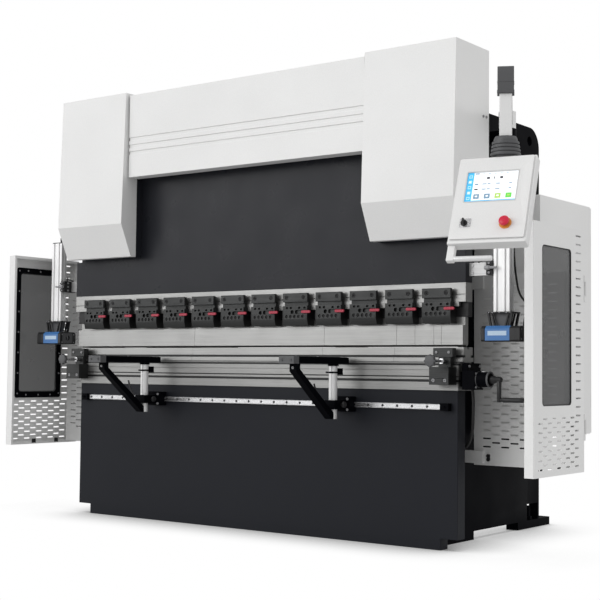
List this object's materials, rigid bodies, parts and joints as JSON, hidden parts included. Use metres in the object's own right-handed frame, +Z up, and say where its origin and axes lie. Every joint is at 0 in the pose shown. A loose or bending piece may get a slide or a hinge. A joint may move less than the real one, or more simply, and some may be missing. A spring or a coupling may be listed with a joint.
{
  "type": "press brake",
  "caption": "Hydraulic press brake with clamped upper punch, crowned die table, front support arms, laser guards, side doors, back gauge and a swing-arm control pendant.",
  "frame": {"origin": "on the floor under the middle of the bend line", "axes": "+X to the operator's right, along the bend line; +Y from the operator towards the back; +Z up"},
  "size_m": [3.502, 1.9389, 2.284],
  "materials": {
    "white_paint": "satin powder coat",
    "graphite_paint": "fine-textured powder coat",
    "black_paint": "satin paint",
    "grey_paint": "satin powder coat",
    "machined_steel": "ground",
    "blackened_steel": "black oxide",
    "aluminium": "anodised extrusion",
    "chrome": "hard chrome",
    "black_plastic": "fine-textured",
    "red_plastic": "gloss"
  },
  "bodies": {
    "frame": {"left_side_frame": "black_paint", "right_side_frame": "black_paint", "bed_plate": "graphite_paint", "upper_cross_beam": "black_paint", "gauge_base": "graphite_paint", "oil_tank": "graphite_paint", "pump_motor": "grey_paint", "left_cylinder": "black_paint", "right_cylinder": "black_paint", "left_cylinder_cover": "white_paint", "right_cylinder_cover": "white_paint", "beam_cover": "white_paint", "crowning_table": "machined_steel", "die": "machined_steel", "left_end_bracket": "blackened_steel", "right_end_bracket": "blackened_steel", "crowning_drive": "black_paint", "front_rail": "chrome", "left_guard_panel": "grey_paint", "right_guard_panel": "grey_paint", "electrical_cabinet": "white_paint", "pendant_bracket": "black_paint"},
    "ram": {"ram_plate": "graphite_paint", "clamp_strip": "machined_steel", "punch": "machined_steel", "left_piston_rod": "chrome", "right_piston_rod": "chrome", "clamp_01": "blackened_steel", "clamp_02": "blackened_steel", "clamp_03": "blackened_steel", "clamp_04": "blackened_steel", "clamp_05": "blackened_steel", "clamp_06": "blackened_steel", "clamp_07": "blackened_steel", "clamp_08": "blackened_steel", "clamp_09": "blackened_steel", "clamp_10": "blackened_steel", "clamp_11": "blackened_steel", "clamp_12": "blackened_steel"},
    "left_laser": {"left_laser_column": "aluminium", "left_laser_head": "black_plastic"},
    "right_laser": {"right_laser_column": "aluminium", "right_laser_head": "black_plastic"},
    "left_door": {"left_side_door": "white_paint"},
    "right_door": {"right_side_door": "white_paint"},
    "left_carriage": {"left_support_carriage": "black_paint"},
    "right_carriage": {"right_support_carriage": "black_paint"},
    "left_arm": {"left_support_arm": "black_paint"},
    "right_arm": {"right_support_arm": "black_paint"},
    "crank": {"crank": "black_plastic"},
    "pendant_arm": {"pendant_arm": "white_paint", "drop_tube": "white_paint"},
    "control_panel": {"control_box": "white_paint", "pendant_handle": "white_paint"},
    "stop_button": {"emergency_stop": "red_plastic"},
    "selector": {"mode_selector": "black_plastic"},
    "cabinet_door": {"cabinet_door": "white_paint"},
    "gauge": {"gauge_beam": "aluminium"},
    "left_finger": {"left_gauge_finger": "machined_steel"},
    "right_finger": {"right_gauge_finger": "machined_steel"}
  },
  "joints": [
    {"name": "ram_travel", "type": "slide", "parent": "frame", "child": "ram", "axis": [0, 0, 1], "range_m": [0, 0.15]},
    {"name": "left_laser_height", "type": "slide", "parent": "ram", "child": "left_laser", "axis": [0, 0, 1], "range_m": [0, 0.1]},
    {"name": "right_laser_height", "type": "slide", "parent": "ram", "child": "right_laser", "axis": [0, 0, 1], "range_m": [0, 0.1]},
    {"name": "left_support_slide", "type": "slide", "parent": "frame", "child": "left_carriage", "axis": [1, 0, 0], "range_m": [-0.42, 0.5]},
    {"name": "right_support_slide", "type": "slide", "parent": "frame", "child": "right_carriage", "axis": [1, 0, 0], "range_m": [-0.5, 0.42]},
    {"name": "left_support_height", "type": "slide", "parent": "left_carriage", "child": "left_arm", "axis": [0, 0, 1], "range_m": [-0.1, 0]},
    {"name": "right_support_height", "type": "slide", "parent": "right_carriage", "child": "right_arm", "axis": [0, 0, 1], "range_m": [-0.1, 0]},
    {"name": "crank_turn", "type": "hinge", "parent": "frame", "child": "crank", "pos_m": [1.4, -0.07, 0.768], "axis": [1, 0, 0], "continuous": true},
    {"name": "pendant_swivel", "type": "hinge", "parent": "frame", "child": "pendant_arm", "pos_m": [1.292, 0.244, 1.975], "axis": [0, 0, 1], "range_deg": [-20, 40]},
    {"name": "panel_swivel", "type": "hinge", "parent": "pendant_arm", "child": "control_panel", "pos_m": [1.673, -0.5, 1.745], "axis": [0, 0, 1], "range_deg": [-45, 45]},
    {"name": "stop_press", "type": "slide", "parent": "control_panel", "child": "stop_button", "axis": [-0.1665, 0.8982, -0.4067], "range_m": [0, 0.004]},
    {"name": "mode_select", "type": "hinge", "parent": "control_panel", "child": "selector", "pos_m": [1.5922, -0.69135, 1.38208], "axis": [0.1665, -0.8982, 0.4067], "range_deg": [-45, 45]},
    {"name": "right_door_hinge", "type": "hinge", "parent": "frame", "child": "right_door", "pos_m": [1.653, 0.292, 0.9], "axis": [0, 0, 1], "range_deg": [0, 90]},
    {"name": "left_door_hinge", "type": "hinge", "parent": "frame", "child": "left_door", "pos_m": [-1.653, 0.292, 0.9], "axis": [0, 0, -1], "range_deg": [0, 90]},
    {"name": "cabinet_door_hinge", "type": "hinge", "parent": "frame", "child": "cabinet_door", "pos_m": [1.4, 0.936, 1.07], "axis": [0, 0, -1], "range_deg": [0, 100]},
    {"name": "gauge_travel", "type": "slide", "parent": "frame", "child": "gauge", "axis": [0, 1, 0], "range_m": [-0.03, 0.2]},
    {"name": "left_finger_slide", "type": "slide", "parent": "gauge", "child": "left_finger", "axis": [1, 0, 0], "range_m": [-0.25, 0.25]},
    {"name": "right_finger_slide", "type": "slide", "parent": "gauge", "child": "right_finger", "axis": [1, 0, 0], "range_m": [-0.25, 0.25]}
  ]
}
